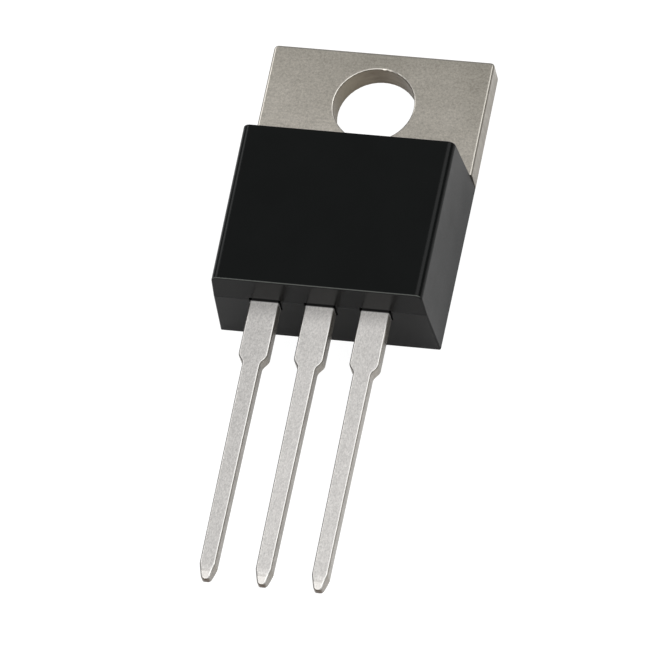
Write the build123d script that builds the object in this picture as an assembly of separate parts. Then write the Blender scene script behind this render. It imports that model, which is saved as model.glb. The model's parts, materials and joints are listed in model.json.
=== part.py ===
from build123d import *
import os
from math import tan, radians, atan2

os.makedirs("parts", exist_ok=True)

# A three-lead power thyristor: a nickel-plated copper heat sink with a mounting hole, a silicon die
# soldered to it, three tinned copper leads, the copper clips that join the die's cathode and gate to
# their leads, and a moulded epoxy body round them.
#
# Frame: X runs across the package, Y from the lead tips to the tab end, Z from the mounting face
# to the front. The origin is the centre of the mounting hole on the mounting face.
# All sizes are in millimetres, all angles in degrees.

# ---- Heat sink ----
tab_width = 10.35
tab_thickness = 1.20
hole_diameter = 3.74
hole_to_tab_end = 2.73
tab_corner_radius = 0.20
tab_edge_roll = 0.12
hole_rim_roll = 0.07
lock_step_width = 0.35
lock_step_height = 0.55
lock_groove_width = 0.50
lock_groove_depth = 0.30
body_to_lock_groove = 0.45

# ---- Moulded body ----
body_width = 10.34
body_narrowing = 0.07
body_height = 4.50
hole_to_body = 3.20
body_length = 8.35
side_draft = 3.55
upper_end_draft = 6.0
lower_end_draft = 1.0
long_edge_radius = 0.35
end_edge_radius = 0.08
side_wall = 0.80
end_wall = 1.60
parting_groove_depth = 0.04
parting_groove_width = 0.06
lead_gap_width = 0.05
lead_gap_height = 0.12
lead_gap_depth = 0.25

# ---- Leads ----
lead_pitch = 2.54
lead_front_height = 3.05
lead_thickness = 0.60
lead_length = 13.95
lead_root_width = 1.35
lead_root_length = 2.80
shoulder_length = 0.34
shoulder_radius = 0.38
lead_width_at_shoulder = 0.83
lead_width_at_tip = 0.72
lead_edge_roll = 0.09
tip_length = 0.72
tip_end_width = 0.36
tip_bevel_length = 0.45
tip_front_bevel = 0.17
tip_back_bevel = 0.11
tip_crease_radius = 0.60
tip_end_radius = 0.11
tip_corner_radius = 0.22

# ---- Inner ends of the leads ----
post_width = 2.70
post_length = 1.20
post_corner_radius = 0.20
lead_embedment = 0.65
lock_hole_diameter = 0.60
lock_hole_offset = 0.85
foot_width = 2.20
foot_length = 1.50
foot_to_heat_sink_end = 0.15
rivet_to_foot_end = 0.65
rivet_diameter = 0.75
rivet_head_diameter = 1.10
rivet_head_height = 0.20

# ---- Die ----
die_size = 3.60
die_to_foot = 0.275
die_thickness = 0.30
moat_width = 0.12
moat_depth = 0.08
moat_to_die_edge = 0.15
die_solder_thickness = 0.08
die_solder_rim = 0.10

# ---- Clips from the die to the outer leads ----
clip_thickness = 0.25
clip_solder_thickness = 0.06
clip_ramp_to_die_edge = 0.50
clip_ramp_run = 1.00
clip_end_inset = 0.25
clip_to_lead_axis = 0.34
cathode_clip_width = 1.50
cathode_clip_foot_length = 1.90
cathode_clip_to_die_axis = 0.55
gate_clip_width = 0.50
gate_clip_foot_length = 0.50
gate_clip_to_die_axis = 1.20

# ---- Places worked out from the sizes above ----
parting_y = -(hole_to_body + body_length)
tip_y = parting_y - lead_length
lead_back_height = lead_front_height - lead_thickness
heat_sink_end_y = parting_y + end_wall
heat_sink_width = body_width - 2 * side_wall
exposed_width = heat_sink_width - 2 * lock_step_width
exposed_end_y = heat_sink_end_y + lock_step_width
lock_groove_y = -(hole_to_body + body_to_lock_groove + lock_groove_width / 2)
post_start_y = parting_y + lead_embedment
post_end_y = post_start_y + post_length
post_centre_y = (post_start_y + post_end_y) / 2
foot_start_y = heat_sink_end_y + foot_to_heat_sink_end
foot_end_y = foot_start_y + foot_length
rivet_y = foot_end_y - rivet_to_foot_end
foot_centre_y = (foot_start_y + foot_end_y) / 2
die_y = foot_end_y + die_to_foot + die_size / 2
die_bottom = tab_thickness + die_solder_thickness
die_top = die_bottom + die_thickness
clip_low = die_top + clip_solder_thickness
clip_high = lead_front_height + clip_solder_thickness
clip_ramp_start_y = die_y - die_size / 2 + clip_ramp_to_die_edge
clip_ramp_end_y = clip_ramp_start_y - clip_ramp_run


def prism(sketch, bottom, top):
    """The plan outline, standing from the height bottom to the height top."""
    return extrude(Pos(0, 0, bottom) * sketch, amount=top - bottom)


def side_prism(points, width):
    """An outline of (y, z) points, widened to both sides of the package's middle plane."""
    return extrude(Plane.YZ * make_face(Polyline(*points, close=True)), amount=width / 2, both=True)


def block(x, first_y, last_y, width, bottom, top):
    """A square-edged block from first_y up to last_y, centred on x."""
    plan = Pos(x, (first_y + last_y) / 2) * Rectangle(width, last_y - first_y)
    return prism(plan, bottom, top)


def edges_at_height(part, height):
    """The edges that lie flat at one height."""
    return part.edges().filter_by_position(Axis.Z, height - 0.001, height + 0.001)


def ramp_lines(low_y, high_y, low, high, thickness):
    """Where a strip of one thickness bends up from the height low, at low_y, to the height high, at high_y.

    Gives the two bends' points on its back, then the two on its front, both from the low end.
    """
    slope = atan2(high - low, low_y - high_y)
    shift = thickness * tan(slope / 2)
    back = [(low_y, low), (high_y, high)]
    front = [(low_y + shift, low + thickness), (high_y + shift, high + thickness)]
    return back, front


def heat_sink_tab():
    """Header stamped from thick copper strip: tab with its hole, die pad, mould locks and rivet."""
    tab_length = hole_to_tab_end + hole_to_body
    tab_outline = Pos(0, hole_to_tab_end - tab_length / 2) * Rectangle(tab_width, tab_length)
    outer_corners = tab_outline.vertices().group_by(Axis.Y)[-1]
    tab = prism(fillet(outer_corners, tab_corner_radius), 0, tab_thickness)
    front_edges = edges_at_height(tab, tab_thickness)
    rolled = front_edges.filter_by(lambda edge: edge.center().Y > -hole_to_body + 0.001)
    tab = fillet(rolled, tab_edge_roll) - prism(Circle(hole_diameter / 2), 0, tab_thickness)
    rims = edges_at_height(tab, tab_thickness)
    tab = fillet(rims.filter_by(lambda edge: edge.center().length < tab_width / 4), hole_rim_roll)

    pad_length = -hole_to_body - heat_sink_end_y
    pad_outline = Pos(0, heat_sink_end_y + pad_length / 2) * Rectangle(heat_sink_width, pad_length)
    exposed_length = -hole_to_body - exposed_end_y
    exposed_outline = Pos(0, exposed_end_y + exposed_length / 2) * Rectangle(exposed_width, exposed_length)
    pad = prism(pad_outline, lock_step_height, tab_thickness) + prism(exposed_outline, 0, tab_thickness)
    groove_outline = Pos(0, lock_groove_y) * Rectangle(tab_width, lock_groove_width)
    groove = prism(groove_outline, tab_thickness - lock_groove_depth, tab_thickness)

    rivet_top = tab_thickness + lead_thickness
    shank = prism(Pos(0, rivet_y) * Circle(rivet_diameter / 2), tab_thickness, rivet_top)
    head = prism(Pos(0, rivet_y) * Circle(rivet_head_diameter / 2), rivet_top, rivet_top + rivet_head_height)
    return tab + pad - groove + shank + head


def lead_outline():
    """Plan of a lead outside the body, with its root run into it, on the line x = 0."""
    root_end = parting_y - lead_root_length
    narrow_start = root_end - shoulder_length
    tip_start = tip_y + tip_length
    right_side = [
        (lead_root_width / 2, post_start_y),
        (lead_root_width / 2, root_end),
        (lead_width_at_shoulder / 2, narrow_start),
        (lead_width_at_tip / 2, tip_start),
        (tip_end_width / 2, tip_y),
    ]
    left_side = [(-x, y) for x, y in reversed(right_side)]
    outline = make_face(Polyline(*right_side, *left_side, close=True))
    rounded = ((root_end, shoulder_radius), (narrow_start, shoulder_radius), (tip_y, tip_corner_radius))
    for y, radius in rounded:
        outline = fillet(outline.vertices().filter_by_position(Axis.Y, y - 0.001, y + 0.001), radius)
    return outline


def coined_strip(inner_end, front=(), back=()):
    """A lead seen from the side, widened across the package: its ramp, if any, and its coined chisel tip."""
    bevel_start = tip_y + tip_bevel_length
    tip = [
        (bevel_start, lead_front_height),
        (tip_y, lead_front_height - tip_front_bevel),
        (tip_y, lead_back_height + tip_back_bevel),
        (bevel_start, lead_back_height),
    ]
    profile = make_face(Polyline(*inner_end, *front, *tip, *back, close=True))
    for y, radius in ((tip_y, tip_end_radius), (bevel_start, tip_crease_radius)):
        profile = fillet(profile.vertices().filter_by_position(Axis.X, y - 0.001, y + 0.001), radius)
    return extrude(Plane.YZ * profile, amount=tab_width / 2, both=True)


def roll_front_edges(lead):
    """Rolls a lead's front edges as stamping does, along both sides of its outer run and round its tip."""
    middle_height = (lead_front_height + lead_back_height) / 2

    def is_front_edge(edge):
        middle = edge.center()
        stands = edge.bounding_box().size.Z > lead_thickness / 2
        lies_across = abs(middle.X) < 0.01
        return middle.Y < post_start_y and middle.Z > middle_height and not stands and not lies_across

    return fillet(lead.edges().filter_by(is_front_edge), lead_edge_roll)


def side_lead(x, outward):
    """A flat outer lead: its post is held in the body by a hole that the epoxy fills."""
    post = Pos(0, post_centre_y) * RectangleRounded(post_width, post_length, post_corner_radius)
    lock_hole = Pos(outward * lock_hole_offset, post_centre_y) * Circle(lock_hole_diameter / 2)
    blank = prism(lead_outline() + post, lead_back_height, lead_front_height)
    strip = coined_strip([(post_end_y, lead_back_height), (post_end_y, lead_front_height)])
    return Pos(x, 0, 0) * (roll_front_edges(blank & strip) - prism(lock_hole, 0, body_height))


def middle_lead():
    """The anode lead: bent down inside the body to a foot that is riveted to the heat sink."""
    back, front = ramp_lines(foot_start_y, post_start_y, tab_thickness, lead_back_height, lead_thickness)
    foot_end = [(foot_end_y, tab_thickness), (foot_end_y, tab_thickness + lead_thickness)]
    strip = coined_strip(foot_end, front, back[::-1])
    neck = block(0, post_start_y, foot_end_y, lead_root_width, tab_thickness, lead_front_height)
    foot = block(0, foot_start_y, foot_end_y, foot_width, tab_thickness, lead_front_height)
    rivet_hole = prism(Pos(0, rivet_y) * Circle(rivet_diameter / 2), 0, body_height)
    outer_run = roll_front_edges(prism(lead_outline(), tab_thickness, lead_front_height) & strip)
    return outer_run + ((neck + foot) & strip) - rivet_hole


def thyristor_die():
    """Square silicon die with the etched moat that edges its front face."""
    square = Pos(0, die_y) * Rectangle(die_size, die_size)
    moat_outer = die_size - 2 * moat_to_die_edge
    moat_inner = moat_outer - 2 * moat_width
    moat = Pos(0, die_y) * (Rectangle(moat_outer, moat_outer) - Rectangle(moat_inner, moat_inner))
    return prism(square, die_bottom, die_top) - prism(moat, die_top - moat_depth, die_top)


def die_attach_solder():
    """The solder layer between the die and the heat sink, squeezed out a little all round."""
    size = die_size + 2 * die_solder_rim
    return prism(Pos(0, die_y) * RectangleRounded(size, size, 2 * die_solder_rim), tab_thickness, die_bottom)


def clip(side, width, foot_length, die_x):
    """A copper strip from a pad on the die, up and aside, to the front of an outer lead's post."""
    foot_end = clip_ramp_start_y + foot_length
    outer_end = post_start_y + clip_end_inset
    back, front = ramp_lines(clip_ramp_start_y, clip_ramp_end_y, clip_low, clip_high, clip_thickness)
    profile = [(foot_end, clip_low), (foot_end, clip_low + clip_thickness)] + front + [
        (outer_end, clip_high + clip_thickness),
        (outer_end, clip_high),
    ] + back[::-1]
    post_x = side * (lead_pitch - clip_to_lead_axis)
    middle_line = [(die_x, foot_end), (die_x, clip_ramp_end_y), (post_x, post_end_y), (post_x, outer_end)]
    right_side = [(x + width / 2, y) for x, y in middle_line]
    left_side = [(x - width / 2, y) for x, y in reversed(middle_line)]
    plan = make_face(Polyline(*right_side, *left_side, close=True))
    strip = prism(plan, clip_low, clip_high + clip_thickness) & side_prism(profile, tab_width)
    die_joint = block(die_x, clip_ramp_start_y, foot_end, width, die_top, clip_low)
    post_joint = block(post_x, outer_end, post_end_y, width, lead_front_height, clip_high)
    return strip, die_joint, post_joint


def body_block():
    """The drafted moulding before anything is taken out of it."""
    half_width = body_width / 2
    lean = tan(radians(side_draft))
    profile = [
        (-hole_to_body + tab_thickness * lean, 0),
        (-hole_to_body - (body_height - tab_thickness) * lean, body_height),
        (parting_y + (body_height - lead_front_height) * tan(radians(upper_end_draft)), body_height),
        (parting_y, lead_front_height),
        (parting_y - lead_front_height * tan(radians(lower_end_draft)), 0),
    ]
    moulding = side_prism(profile, 2 * body_width)
    for side in (-1, 1):
        down_the_body = Vector(-side * body_narrowing, -body_length, 0)
        up_the_side = Vector(-side * lean, 0, 1)
        flank = Plane(origin=(side * half_width, -hole_to_body, 0), x_dir=up_the_side,
                      z_dir=side * up_the_side.cross(down_the_body))
        moulding = split(moulding, bisect_by=flank, keep=Keep.BOTTOM)
    front_edges = edges_at_height(moulding, body_height)
    long_edges = front_edges.filter_by(lambda edge: abs(edge.center().X) > half_width / 2)
    moulding = fillet(long_edges, long_edge_radius)

    def is_end_edge(edge):
        box = edge.bounding_box()
        lies_flat = box.size.Z < 0.001
        return box.size.Y < body_length / 4 and (not lies_flat or box.max.Z > body_height - 0.001)

    return fillet(moulding.edges().filter_by(is_end_edge), end_edge_radius)


def moulded_body(inner_pieces):
    """The epoxy body, filling all the room round the pieces that it holds."""
    half_groove = parting_groove_width / 2
    groove = side_prism([
        (parting_y - parting_groove_depth, lead_front_height - 2 * half_groove),
        (parting_y + parting_groove_depth, lead_front_height),
        (parting_y - parting_groove_depth, lead_front_height + 2 * half_groove),
    ], 2 * body_width)
    moulding = body_block() - groove
    for x in (-lead_pitch, 0, lead_pitch):
        gap_end = parting_y + lead_gap_depth
        gap_bottom, gap_top = lead_back_height - lead_gap_height, lead_front_height + lead_gap_height
        width = lead_root_width + 2 * lead_gap_width
        moulding = moulding - block(x, parting_y - end_wall, gap_end, width, gap_bottom, gap_top)
    for piece in inner_pieces:
        moulding = moulding - piece
    return moulding


def build():
    """Every piece of the thyristor, by the name of its part."""
    cathode_clip = clip(-1, cathode_clip_width, cathode_clip_foot_length, -cathode_clip_to_die_axis)
    gate_clip = clip(1, gate_clip_width, gate_clip_foot_length, gate_clip_to_die_axis)
    pieces = {
        "heat_sink_tab": heat_sink_tab(),
        "cathode_lead": side_lead(-lead_pitch, -1),
        "anode_lead": middle_lead(),
        "gate_lead": side_lead(lead_pitch, 1),
        "thyristor_die": thyristor_die(),
        "die_attach_solder": die_attach_solder(),
    }
    for name, (strip, die_joint, post_joint) in (("cathode", cathode_clip), ("gate", gate_clip)):
        pieces[f"{name}_clip"] = strip
        pieces[f"{name}_clip_die_solder"] = die_joint
        pieces[f"{name}_clip_post_solder"] = post_joint
    pieces["moulded_body"] = moulded_body(list(pieces.values()))
    return pieces


for name, piece in build().items():
    export_step(piece, f"parts/{name}.step")
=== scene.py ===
import json
from math import cos, pi, radians, sin

import bpy
from mathutils import Matrix, Vector


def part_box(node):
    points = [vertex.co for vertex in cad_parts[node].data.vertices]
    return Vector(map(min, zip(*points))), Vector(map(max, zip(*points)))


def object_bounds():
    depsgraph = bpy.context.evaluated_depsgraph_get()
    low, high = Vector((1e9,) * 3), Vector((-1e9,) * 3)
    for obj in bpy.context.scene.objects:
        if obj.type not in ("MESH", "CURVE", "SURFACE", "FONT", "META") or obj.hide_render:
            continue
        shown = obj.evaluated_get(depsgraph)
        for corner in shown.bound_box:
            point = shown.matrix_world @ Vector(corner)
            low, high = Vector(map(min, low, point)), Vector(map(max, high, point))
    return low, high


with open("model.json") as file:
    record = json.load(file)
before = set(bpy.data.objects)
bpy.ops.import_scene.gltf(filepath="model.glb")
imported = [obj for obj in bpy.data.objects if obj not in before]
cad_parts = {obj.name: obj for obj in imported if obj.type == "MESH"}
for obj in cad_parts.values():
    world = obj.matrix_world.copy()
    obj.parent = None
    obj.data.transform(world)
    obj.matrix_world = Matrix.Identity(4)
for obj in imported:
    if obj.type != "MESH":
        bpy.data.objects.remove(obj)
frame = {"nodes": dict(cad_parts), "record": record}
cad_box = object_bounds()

# A three-lead power thyristor, lying on its mounting face on a pale floor.
# Everything is in metres, in the frame of the solids: X across the package, Y from the lead tips
# to the tab end, Z from the mounting face to the front. The origin is the mounting hole's centre.
MM = 0.001
cad_nodes = frame["nodes"]

# ---- Places on the part ----
middle = (cad_box[0] + cad_box[1]) / 2
lead_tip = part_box("gate_lead")[0][1]
lead_pitch = 2.54 * MM
body_start, body_end = (corner[1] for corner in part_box("moulded_body"))
body_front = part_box("moulded_body")[1][2]
# How far back from the body's front the painted highlight along its lead-end edge reaches.
painted_front_edge_highlight_depth = 0.2 * MM
tab_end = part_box("heat_sink_tab")[1][1]
tab_shading_reach = 5 * MM
hole_radius = frame["record"]["mounts"][0]["dims"]["r_mm"] * MM
hole_wall_margin = 0.006 * MM
hole_rim_width = 0.10 * MM

# ---- Camera ----
view_azimuth = radians(26.52)
view_elevation = radians(59.42)
view_roll = radians(-18.01)
view_distance = 0.333
view_lens = 416.0
aim_shift = Vector((0.007, -0.440, -0.25)) * MM


def add_camera():
    """A long-lens camera in front of the part, above its lead end and turned to one side."""
    towards_camera = Vector((
        sin(view_azimuth) * cos(view_elevation),
        -cos(view_azimuth) * cos(view_elevation),
        sin(view_elevation),
    ))
    level_right = Vector((cos(view_azimuth), sin(view_azimuth), 0))
    level_up = towards_camera.cross(level_right)
    right = cos(view_roll) * level_right + sin(view_roll) * level_up
    up = cos(view_roll) * level_up - sin(view_roll) * level_right
    lens = bpy.data.cameras.new("camera")
    lens.lens = view_lens
    lens.sensor_width = 36
    lens.clip_start = 0.01
    lens.clip_end = 10
    camera = bpy.data.objects.new("camera", lens)
    bpy.context.scene.collection.objects.link(camera)
    place = Matrix((right, up, towards_camera)).transposed().to_4x4()
    place.translation = middle + aim_shift + towards_camera * view_distance
    camera.matrix_world = place
    bpy.context.scene.camera = camera


# ---- Materials ----
# A noise stays mostly between the first two values, and a rough one between the second two.
noise_span = (0.3, 0.7)
rough_noise_span = (0.25, 0.75)
# How far a seed of 1 shifts a noise, in cells along X, Y and Z.
seed_shift = (1.0, 0.7, 1.3)


class Finish:
    """A material under construction: its node tree, its main shader and short ways to add nodes."""

    def __init__(self, name):
        self.material = bpy.data.materials.new(name)
        self.material.use_nodes = True
        self.tree = self.material.node_tree
        self.shader = self.tree.nodes["Principled BSDF"]
        self.place = self.add("ShaderNodeTexCoord").outputs["Object"]
        self.normal = self.add("ShaderNodeNewGeometry").outputs["Normal"]

    def add(self, kind, **settings):
        node = self.tree.nodes.new(kind)
        for key, value in settings.items():
            setattr(node, key, value)
        return node

    def put(self, socket, value):
        """Links a node's output to a socket, or sets the socket to a constant."""
        if isinstance(value, bpy.types.NodeSocket):
            self.tree.links.new(value, socket)
        else:
            socket.default_value = value

    def surface(self, **values):
        """Sets the main shader's sockets, named with underscores for spaces."""
        for key, value in values.items():
            self.put(self.shader.inputs[key.replace("_", " ")], value)

    def math(self, operation, first, second=0.0):
        node = self.add("ShaderNodeMath", operation=operation)
        self.put(node.inputs[0], first)
        self.put(node.inputs[1], second)
        return node.outputs[0]

    def total(self, first, *others):
        for other in others:
            first = self.math("ADD", first, other)
        return first

    def product(self, first, *others):
        for other in others:
            first = self.math("MULTIPLY", first, other)
        return first

    def size_of(self, value):
        """A number without its sign."""
        return self.math("ABSOLUTE", value)

    def split(self, vector):
        node = self.add("ShaderNodeSeparateXYZ")
        self.put(node.inputs[0], vector)
        return node.outputs

    def rise(self):
        """1 where the surface faces straight to the front or the back, 0 where it faces aside."""
        return self.size_of(self.split(self.normal)[2])

    def noise(self, stretch, detail=2.0, rough=0.5, seed=0.0):
        """Noise with the given number of cells to the millimetre along X, Y and Z."""
        mapping = self.add("ShaderNodeMapping")
        self.put(mapping.inputs["Vector"], self.place)
        mapping.inputs["Location"].default_value = [seed * cells for cells in seed_shift]
        mapping.inputs["Scale"].default_value = [cells / MM for cells in stretch]
        node = self.add("ShaderNodeTexNoise")
        self.put(node.inputs["Vector"], mapping.outputs[0])
        for key, value in (("Scale", 1.0), ("Detail", detail), ("Roughness", rough)):
            node.inputs[key].default_value = value
        return node.outputs["Fac"]

    def ranged(self, value, low, high, to_low=0.0, to_high=1.0, smooth=False):
        """A number that goes from to_low to to_high while the value goes from low to high."""
        node = self.add("ShaderNodeMapRange", clamp=True)
        if smooth:
            node.interpolation_type = "SMOOTHSTEP"
        for key, number in (("Value", value), ("From Min", low), ("From Max", high),
                            ("To Min", to_low), ("To Max", to_high)):
            self.put(node.inputs[key], number)
        return node.outputs["Result"]

    def blend(self, factor, first, second, mode="MIX"):
        """Mixes two colours, each a colour or a node's output."""
        node = self.add("ShaderNodeMix", data_type="RGBA", blend_type=mode)
        colours = [socket for socket in node.inputs if socket.type == "RGBA"]
        self.put(node.inputs["Factor"], factor)
        for socket, value in zip(colours, (first, second)):
            self.put(socket, (*value, 1.0) if isinstance(value, tuple) else value)
        return [socket for socket in node.outputs if socket.type == "RGBA"][0]

    def patchy(self, noise, first, second):
        """Two colours in the patches of a noise."""
        return self.blend(self.ranged(noise, *noise_span), first, second)

    def shaded(self, colour, shade):
        """A colour made darker or lighter by a number around 1."""
        grey = self.add("ShaderNodeCombineColor")
        for socket in grey.inputs:
            self.put(socket, shade)
        return self.blend(1.0, colour, grey.outputs[0], "MULTIPLY")

    def bump(self, heights, strength=1.0):
        """Chains bumps, each a (height from 0 to 1, depth in mm) pair."""
        normal = None
        for height, depth in heights:
            node = self.add("ShaderNodeBump")
            self.put(node.inputs["Strength"], strength)
            node.inputs["Distance"].default_value = depth * MM
            self.put(node.inputs["Height"], height)
            if normal is not None:
                self.put(node.inputs["Normal"], normal)
            normal = node.outputs["Normal"]
        self.put(self.shader.inputs["Normal"], normal)


def flat_face_mask(finish):
    """1 on the rolled front and back faces, 0 on the faces that the punch sheared."""
    return finish.ranged(finish.rise(), 0.62, 0.93, smooth=True)


def band_mask(finish, lowest, low, high, highest):
    """1 where the surface's rise is between low and high, fading to 0 at lowest and at highest."""
    rise = finish.rise()
    return finish.product(finish.ranged(rise, lowest, low), finish.ranged(rise, highest, high))


def painted_edge_shade_mask(finish):
    """1 on the outer part of the edges that the punch rolled over, where a painted shade goes."""
    return band_mask(finish, 0.12, 0.25, 0.77, 0.86)


def painted_edge_highlight_mask(finish):
    """1 on the inner part of the rolled edges, where a painted highlight goes."""
    return band_mask(finish, 0.82, 0.88, 0.990, 0.999)


def texture_depth(finish):
    """How deep a stamped piece's texture is: full on its faces, and little on its smooth edges."""
    return finish.ranged(finish.rise(), 0.93, 0.995, 0.15, 1.0)


# The nickel's colours. A pair is the dark and the pale end of a patchy surface.
nickel_face = (0.391, 0.366, 0.317), (0.560, 0.526, 0.470)
nickel_sheared = (0.36, 0.332, 0.289), (0.48, 0.450, 0.400)
# The hole wall, darker in patches, and the paler colour painted as light on its left side.
dark_patchy_hole_wall = (0.150, 0.124, 0.092), (0.222, 0.190, 0.147)
painted_lit_hole_wall = (0.262, 0.228, 0.172)
# A painted shade for the rolled edges' outer part.
nickel_painted_edge_shade = (0.14, 0.13, 0.11)
# A painted highlight for their inner part: dark facing right, pale facing left and at the rim.
nickel_painted_edge_highlight = (0.40, 0.380, 0.345), (0.60, 0.575, 0.53)


def nickel_finish():
    """Satin nickel on the stamped heat sink: mottled faces, streaked sides, a darker hole wall."""
    finish = Finish("satin_nickel")
    x, y, _ = finish.split(finish.place)
    facing_right, _, _ = finish.split(finish.normal)
    mottle = finish.noise((9.0, 9.0, 9.0), detail=3.0, rough=0.7)
    grain = finish.noise((18.0, 18.0, 18.0), rough=0.7, seed=6.0)
    brushing = finish.noise((1.2, 9.0, 9.0), detail=3.0, seed=3.0)
    cloud = finish.noise((0.4, 0.4, 0.4), seed=7.0)
    streak = finish.noise((7.0, 7.0, 0.9), seed=5.0)
    smear = finish.noise((1.6, 1.6, 6.0), detail=3.0, seed=8.0)

    # The faces are paler towards the body and the left, and cloudy.
    paleness = finish.total(
        finish.ranged(y, tab_end, body_end),
        finish.ranged(cloud, *noise_span, -0.25, 0.25),
        finish.ranged(x, -tab_shading_reach, tab_shading_reach, 0.05, -0.30),
    )
    face = finish.blend(finish.ranged(paleness, -0.3, 1.0), *nickel_face)
    face = finish.shaded(face, finish.total(
        finish.ranged(mottle, 0.34, 0.72, 0.86, 1.17),
        finish.ranged(brushing, *rough_noise_span, -0.06, 0.06),
        finish.ranged(grain, *rough_noise_span, -0.18, 0.18),
    ))

    # The sheared faces are streaked. The hole's wall is darker and browner in patches, and painted
    # light makes its left side paler.
    sheared = finish.patchy(streak, *nickel_sheared)
    from_axis = finish.math("SQRT", finish.total(finish.product(x, x), finish.product(y, y)))
    in_hole = finish.math("LESS_THAN", from_axis, hole_radius + hole_wall_margin)
    at_rim = finish.math("LESS_THAN", from_axis, hole_radius + hole_rim_width)
    hole_wall = finish.patchy(smear, *dark_patchy_hole_wall)
    painted_lit_side = finish.ranged(x, -0.2 * hole_radius, -0.8 * hole_radius)
    hole_wall = finish.blend(painted_lit_side, hole_wall, painted_lit_hole_wall)
    sheared = finish.blend(in_hole, sheared, hole_wall)

    # The rolled edges get a painted shade outside, except at the hole, and a painted
    # highlight inside, paler where they face left and at the hole's rim.
    flat = flat_face_mask(finish)
    skin = finish.blend(flat, sheared, face)
    painted_edge_shade = finish.product(painted_edge_shade_mask(finish), finish.ranged(at_rim, 0.0, 1.0, 0.6, 0.0))
    skin = finish.blend(painted_edge_shade, skin, nickel_painted_edge_shade)
    painted_highlight_side = finish.math("MAXIMUM", at_rim, finish.ranged(facing_right, -0.04, -0.12))
    painted_edge_highlight = finish.blend(painted_highlight_side, *nickel_painted_edge_highlight)
    skin = finish.blend(finish.product(painted_edge_highlight_mask(finish), 0.8), skin, painted_edge_highlight)

    dullness = finish.total(mottle, finish.product(flat, -0.3))
    finish.surface(
        Base_Color=skin,
        Metallic=1.0,
        Roughness=finish.ranged(dullness, 0.0, 0.8, 0.28, 0.38),
    )
    finish.bump([(mottle, 0.0014), (grain, 0.0010), (brushing, 0.0008)], texture_depth(finish))
    return finish.material


# The tin's colours, and that of the copper at the cut ends.
tin_face = (0.572, 0.556, 0.538), (0.594, 0.578, 0.560)
tin_sheared = (0.305, 0.283, 0.250), (0.410, 0.382, 0.343)
tin_trimmed_side = (0.24, 0.200, 0.155)
# A painted shade for the rolled edges' outer part, a painted highlight for their inner part.
tin_painted_edge_shade = (0.15, 0.14, 0.12)
tin_painted_edge_highlight = (0.67, 0.657, 0.636)
# A painted shade on the left edges.
tin_painted_left_edge_shade = (0.035, 0.031, 0.027)
tin_bevel = (0.36, 0.345, 0.325)
# A painted highlight on the tip's right edge.
tin_painted_taper_highlight = (0.78, 0.765, 0.74)
# A painted highlight where the lead leaves the body, and a painted shade into the body.
tin_painted_root_highlight = (0.84, 0.82, 0.80)
tin_painted_root_shade = (0.02, 0.02, 0.02)
copper_cut_end = (0.120, 0.095, 0.074)


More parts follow.
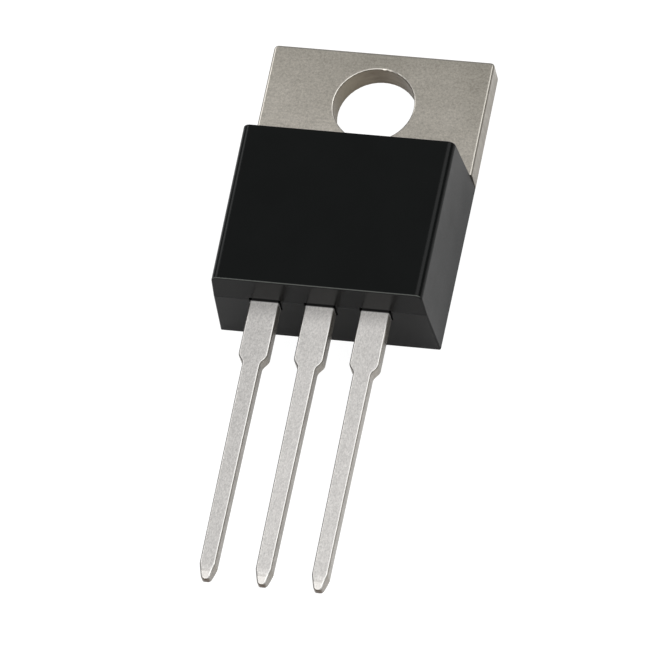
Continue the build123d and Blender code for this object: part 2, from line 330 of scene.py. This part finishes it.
def tin_finish():
    """Matt tin on the stamped leads: fine-grained faces, duller sheared sides, bare cut ends."""
    finish = Finish("matt_tin")
    x, y, _ = finish.split(finish.place)
    facing_right, facing_out, _ = finish.split(finish.normal)
    grain = finish.noise((18.0, 9.0, 12.0), rough=0.75)
    mottle = finish.noise((3.5, 2.5, 3.5), detail=3.0, rough=0.6, seed=4.0)
    streak = finish.noise((8.0, 3.0, 1.0), seed=9.0)

    def towards_body(far, near, at_far=0.0, at_near=1.0):
        """A number that changes along the lead, between two distances from the body in mm."""
        return finish.ranged(y, body_start - far * MM, body_start - near * MM, at_far, at_near)

    def towards_tip(far, near, smooth=False):
        """0 on the lead and 1 at its tip, changing between two distances from the tip in mm."""
        return finish.ranged(y, lead_tip + far * MM, lead_tip + near * MM, smooth=smooth)

    # The faces darken a little towards the body and the left, and are lighter at the tip.
    # Right next to the body they are painted brighter, as painted light that cancels the dark
    # reflection of the body in them.
    face = finish.patchy(mottle, *tin_face)
    face = finish.shaded(face, finish.total(
        finish.ranged(grain, *rough_noise_span, 0.72, 1.26),
        finish.product(towards_body(1.4, 0.2), 0.28),
        finish.ranged(x, -lead_pitch, 0.0, -0.045, 0.060),
        towards_body(10, 2, 0.04, -0.04),
        finish.product(towards_tip(0.75, 0.50), 0.16),
    ))

    # The sheared sides are streaked, and browner where the tips were trimmed after plating.
    sheared = finish.patchy(streak, *tin_sheared)
    at_tip = towards_tip(1.1, 0.3, smooth=True)
    sheared = finish.blend(finish.product(at_tip, 0.6), sheared, tin_trimmed_side)

    # The rolled edges get a little painted shade outside, and a painted highlight inside but for
    # the tip's bevel.
    flat = flat_face_mask(finish)
    skin = finish.blend(flat, sheared, face)
    skin = finish.blend(finish.product(painted_edge_shade_mask(finish), 0.3), skin, tin_painted_edge_shade)
    off_bevel = finish.ranged(finish.size_of(facing_right), 0.04, 0.10, 0.0, 0.85)
    painted_edge_highlight = finish.product(painted_edge_highlight_mask(finish), off_bevel)
    skin = finish.blend(painted_edge_highlight, skin, tin_painted_edge_highlight)

    # Painted shade darkens the left edges. At the tip, the bevel is dull, and a painted highlight
    # brightens the right edge.
    painted_left_edge_shade = finish.product(finish.ranged(facing_right, -0.36, -0.50),
                               finish.ranged(finish.rise(), 0.12, 0.25))
    skin = finish.blend(finish.product(painted_left_edge_shade, 0.7), skin, tin_painted_left_edge_shade)
    bevel = finish.product(finish.ranged(facing_out, -0.12, -0.28), towards_tip(0.65, 0.45))
    skin = finish.blend(finish.product(bevel, 0.6), skin, tin_bevel)
    painted_taper_highlight = finish.product(
        finish.ranged(facing_right, 0.06, 0.14),
        finish.ranged(facing_right, 0.85, 0.70),
        finish.ranged(finish.rise(), 0.35, 0.50),
        towards_tip(0.95, 0.75),
    )
    skin = finish.blend(finish.product(painted_taper_highlight, 0.9), skin, tin_painted_taper_highlight)

    # The lead gets a painted highlight where it leaves the body, a painted shade from there into
    # the body, and is bare at its cut end.
    painted_root_highlight = finish.product(towards_body(0.16, 0.08), finish.ranged(grain, 0.35, 0.6))
    skin = finish.blend(painted_root_highlight, skin, tin_painted_root_highlight)
    skin = finish.blend(towards_body(0.03, -0.01), skin, tin_painted_root_shade)
    cut = finish.product(finish.ranged(facing_out, -0.50, -0.85, smooth=True), at_tip)
    skin = finish.blend(cut, skin, copper_cut_end)

    finish.surface(
        Base_Color=skin,
        Metallic=finish.ranged(flat, 0.0, 1.0, 0.72, 0.60),
        Roughness=finish.product(finish.ranged(mottle, 0.2, 0.8, 0.40, 0.46),
                                 finish.ranged(finish.rise(), 0.90, 0.99, 0.55, 1.0)),
    )
    finish.bump([(mottle, 0.0005), (grain, 0.0012)], texture_depth(finish))
    return finish.material


# The moulding compound's colours, with painted light on the lead end face and a painted
# highlight along its front edge.
epoxy_black = (0.0005, 0.0011, 0.0010), (0.0011, 0.0018, 0.0017)
epoxy_painted_light_lead_end = (0.004, 0.004, 0.004)
epoxy_painted_front_edge_highlight = (0.075, 0.080, 0.074)


def epoxy_finish():
    """Black moulding compound: semi-matt, with the very fine grain of an eroded mould."""
    finish = Finish("moulded_black_epoxy")
    _, _, z = finish.split(finish.place)
    facing_right, facing_out, _ = finish.split(finish.normal)
    grain = finish.noise((14.0, 14.0, 14.0))
    cloud = finish.noise((0.6, 0.6, 0.6), seed=2.0)
    colour = finish.patchy(cloud, *epoxy_black)
    # Painted light: the lead end face is a little less black.
    painted_light_lead_end = finish.ranged(facing_out, -0.80, -0.95)
    colour = finish.blend(painted_light_lead_end, colour, epoxy_painted_light_lead_end)
    # A painted highlight along the front edge at the lead end.
    painted_front_edge_highlight = finish.product(
        band_mask(finish, 0.50, 0.65, 0.90, 0.96),
        finish.ranged(facing_out, -0.20, -0.30),
        finish.math("GREATER_THAN", z, body_front - painted_front_edge_highlight_depth),
    )
    colour = finish.blend(painted_front_edge_highlight, colour, epoxy_painted_front_edge_highlight)
    long_side = finish.ranged(finish.size_of(facing_right), 0.85, 0.97)
    finish.surface(
        Base_Color=colour,
        Roughness=finish.total(finish.ranged(finish.total(grain, cloud), 0.6, 1.4, 0.18, 0.26),
                               finish.product(long_side, 0.09)),
        Specular_IOR_Level=0.140,
    )
    finish.bump([(grain, 0.0006)])
    return finish.material


# The colours of the pieces inside, the dark and the pale end of each.
silicon_blue = (0.16, 0.17, 0.20), (0.25, 0.26, 0.29)
solder_grey = (0.42, 0.42, 0.43), (0.62, 0.62, 0.63)
copper_red = (0.62, 0.33, 0.21), (0.80, 0.48, 0.33)


def silicon_finish():
    """Polished silicon with a faint bluish cast."""
    finish = Finish("metallised_silicon")
    cloud = finish.noise((1.2, 1.2, 1.2))
    finish.surface(
        Base_Color=finish.blend(cloud, *silicon_blue),
        Metallic=0.8,
        Roughness=finish.ranged(cloud, *noise_span, 0.08, 0.16),
    )
    finish.bump([(cloud, 0.0005)])
    return finish.material


def solder_finish():
    """Dull solder, slightly dimpled where it has set."""
    finish = Finish("dull_solder")
    dimple = finish.noise((4.0, 4.0, 4.0), detail=3.0)
    finish.surface(
        Base_Color=finish.blend(dimple, *solder_grey),
        Metallic=1.0,
        Roughness=finish.ranged(dimple, *noise_span, 0.32, 0.5),
    )
    finish.bump([(dimple, 0.006)])
    return finish.material


def copper_finish():
    """Clean rolled copper, with its rolling lines along the strip."""
    finish = Finish("rolled_copper")
    rolling = finish.noise((9.0, 0.8, 9.0))
    finish.surface(
        Base_Color=finish.blend(rolling, *copper_red),
        Metallic=1.0,
        Roughness=finish.ranged(rolling, *noise_span, 0.22, 0.34),
    )
    finish.bump([(rolling, 0.0015)])
    return finish.material


# ---- Floor ----
floor_size = 3.0
floor_gap = 0.02 * MM
floor_paint = (0.88, 0.88, 0.88), (0.92, 0.92, 0.92)
floor_white = 0.93
floor_shadow_grey = (0.18, 0.18, 0.18, 1.0)
floor_share_in_mirrors = 0.10


def floor_finish():
    """A pale floor, shown to the camera as white with a faint shadow under the part."""
    finish = Finish("pale_floor")
    tree = finish.tree
    paint = finish.noise((0.02, 0.02, 0.02))
    finish.surface(Base_Color=finish.blend(paint, *floor_paint), Roughness=0.9)
    shadow = finish.add("ShaderNodeBsdfDiffuse")
    finish.put(shadow.inputs["Color"], floor_shadow_grey)
    white = finish.add("ShaderNodeEmission")
    finish.put(white.inputs["Strength"], floor_white)
    shown = finish.add("ShaderNodeAddShader")
    tree.links.new(shadow.outputs[0], shown.inputs[0])
    tree.links.new(white.outputs[0], shown.inputs[1])
    path = finish.add("ShaderNodeLightPath").outputs
    mirrored = finish.product(path["Is Glossy Ray"], floor_share_in_mirrors)
    seen = finish.math("MAXIMUM", finish.math("MAXIMUM", path["Is Camera Ray"], mirrored),
                       path["Is Transmission Ray"])
    choice = finish.add("ShaderNodeMixShader")
    tree.links.new(seen, choice.inputs[0])
    tree.links.new(finish.shader.outputs[0], choice.inputs[1])
    tree.links.new(shown.outputs[0], choice.inputs[2])
    tree.links.new(choice.outputs[0], tree.nodes["Material Output"].inputs["Surface"])
    return finish.material


def add_floor():
    bpy.ops.object.select_all(action="DESELECT")
    bpy.ops.mesh.primitive_plane_add(size=floor_size, location=(0, 0, -floor_gap))
    floor = bpy.context.active_object
    floor.name = "floor"
    floor.data.materials.append(floor_finish())


# ---- Light ----
surrounding_brightness = 0.38

# Each lamp's name, direction from the part, distance, width and brightness.
softboxes = (
    ("overhead_softbox", (-0.15, 0.15, 1.0), 0.40, 0.40, 0.31),
    ("front_softbox", (-0.30, -0.52, 0.80), 0.40, 0.32, 2.1),
    ("right_softbox", (0.42, 0.45, 0.79), 0.32, 0.19, 2.05),
    ("right_front_softbox", (0.42, -0.24, 0.875), 0.32, 0.17, 2.15),
    ("left_softbox", (-0.64, 0.45, 0.62), 0.30, 0.11, 2.8),
)


def add_softbox(name, direction, distance, width, brightness):
    """A square lamp that faces the part; a brightness of 1 looks white in a mirror."""
    towards = Vector(direction).normalized()
    lamp = bpy.data.lights.new(name, "AREA")
    lamp.shape = "SQUARE"
    lamp.size = width
    lamp.energy = brightness * pi * width * width
    softbox = bpy.data.objects.new(name, lamp)
    bpy.context.scene.collection.objects.link(softbox)
    softbox.location = middle + towards * distance
    softbox.rotation_mode = "QUATERNION"
    softbox.rotation_quaternion = towards.to_track_quat("Z", "Y")


def add_light():
    """Soft light: an even grey all round, a broad dim lamp overhead and four brighter ones."""
    world = bpy.data.worlds.new("studio")
    world.use_nodes = True
    background = world.node_tree.nodes["Background"].inputs
    background["Color"].default_value = (1.0, 1.0, 1.0, 1.0)
    background["Strength"].default_value = surrounding_brightness
    bpy.context.scene.world = world
    for softbox in softboxes:
        add_softbox(*softbox)


# ---- Finishes on the pieces ----
finishes = {
    "nickel_plate": nickel_finish(),
    "tin_plate": tin_finish(),
    "black_epoxy": epoxy_finish(),
    "silicon": silicon_finish(),
    "solder": solder_finish(),
    "bare_copper": copper_finish(),
}


def dress_cad_node(name):
    """Gives a node of the solids the made finish of its material slot."""
    for slot in cad_nodes[name].material_slots:
        slot.material = finishes[slot.material.name.split(".")[0]]


for name in cad_nodes:
    dress_cad_node(name)

add_camera()
add_floor()
add_light()
bpy.context.scene.view_settings.view_transform = "Standard"
